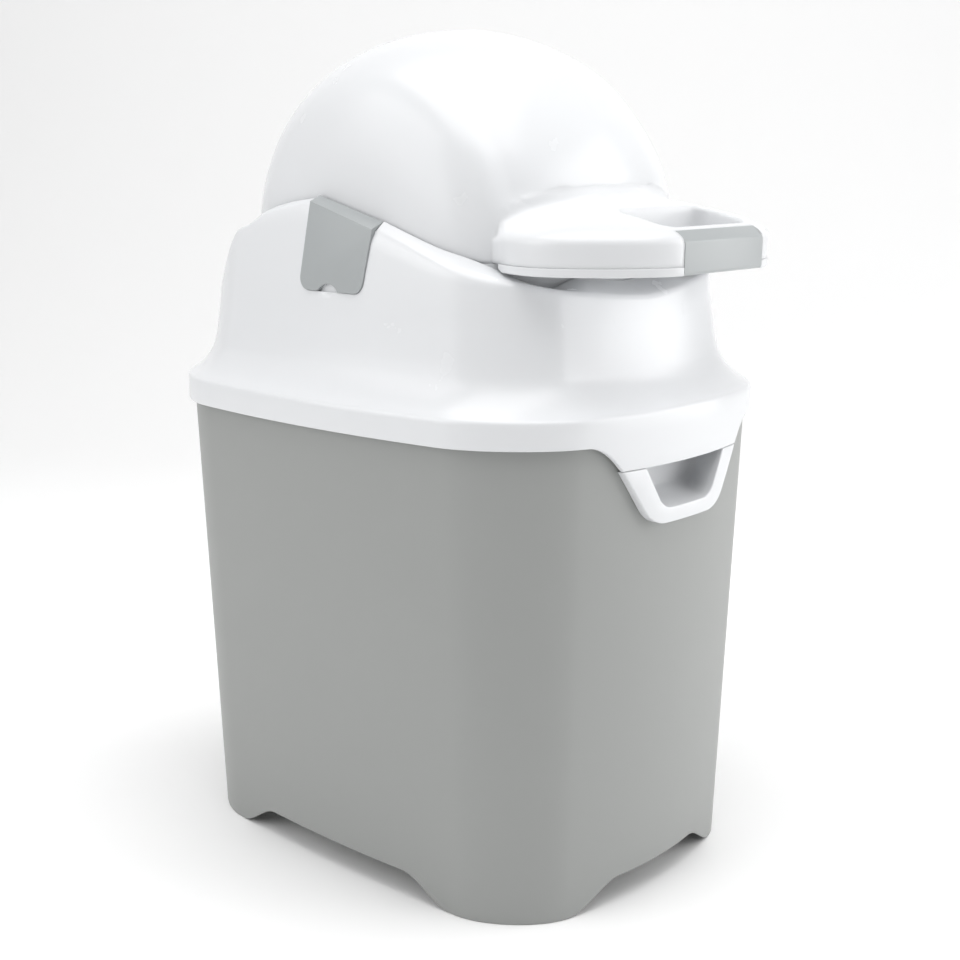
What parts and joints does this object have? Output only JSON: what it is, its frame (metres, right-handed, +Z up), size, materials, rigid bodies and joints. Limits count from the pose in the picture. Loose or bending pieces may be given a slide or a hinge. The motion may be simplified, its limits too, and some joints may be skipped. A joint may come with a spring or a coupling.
{
  "type": "nappy bin",
  "caption": "Free-standing nappy bin with a hinged lid, a flip-over drum that drops a nappy into the bucket, a finger pull and a loop handle.",
  "frame": {"origin": "centre of the bucket's base on the floor; the part's box is centred there within 4 mm, because the handle reaches further forward than the hinges reach back", "axes": "+Z up, -Y to the front where the handle and finger pull are, +X to the part's right-hand pivot as seen from the front"},
  "size_m": [0.2906, 0.4063, 0.54],
  "materials": {
    "white_plastic": "glossy white moulding",
    "grey_plastic": "satin grey moulding",
    "trim_grey": "semi-gloss light grey moulding",
    "seal_rubber": "soft grey seal",
    "steel": "plain steel"
  },
  "bodies": {
    "bucket": {"pail": "grey_plastic", "finger_pull": "white_plastic", "bag_ring": "white_plastic", "hinge_bracket_left": "white_plastic", "hinge_bracket_right": "white_plastic", "hinge_pin_left": "steel", "hinge_pin_right": "steel", "hinge_screws": "steel"},
    "lid": {"hood": "white_plastic", "drum_seal": "seal_rubber", "lid_gasket": "seal_rubber", "pivot_bearing_left": "white_plastic", "pivot_bearing_right": "white_plastic", "hinge_arm_left": "white_plastic", "hinge_arm_right": "white_plastic"},
    "cap_left": {"pivot_cap_left": "trim_grey"},
    "cap_right": {"pivot_cap_right": "trim_grey"},
    "drum": {"drum_dome": "white_plastic", "drum_base": "white_plastic", "nappy_chamber": "white_plastic", "handle_cover": "white_plastic", "handle_grip": "trim_grey", "pivot_pin_left": "white_plastic", "pivot_pin_right": "white_plastic", "chamber_screws": "steel"},
    "piston": {"piston": "trim_grey", "piston_weight": "steel", "piston_seal": "seal_rubber"}
  },
  "joints": [
    {"name": "lid_hinge", "type": "hinge", "parent": "bucket", "child": "lid", "pos_m": [0, 0.195, 0.302], "axis": [-1, 0, 0], "range_deg": [0, 95]},
    {"name": "drum_flip", "type": "hinge", "parent": "lid", "child": "drum", "pos_m": [0, -0.003, 0.408], "axis": [-1, 0, 0], "range_deg": [0, 180]},
    {"name": "piston_slide", "type": "slide", "parent": "drum", "child": "piston", "axis": [0, 0, 1], "range_m": [0, 0.145]},
    {"name": "cap_left_lift", "type": "slide", "parent": "lid", "child": "cap_left", "axis": [0, -0.1478, 0.989], "range_m": [0, 0.014]},
    {"name": "cap_right_lift", "type": "slide", "parent": "lid", "child": "cap_right", "axis": [0, -0.1478, 0.989], "range_m": [0, 0.014]}
  ]
}
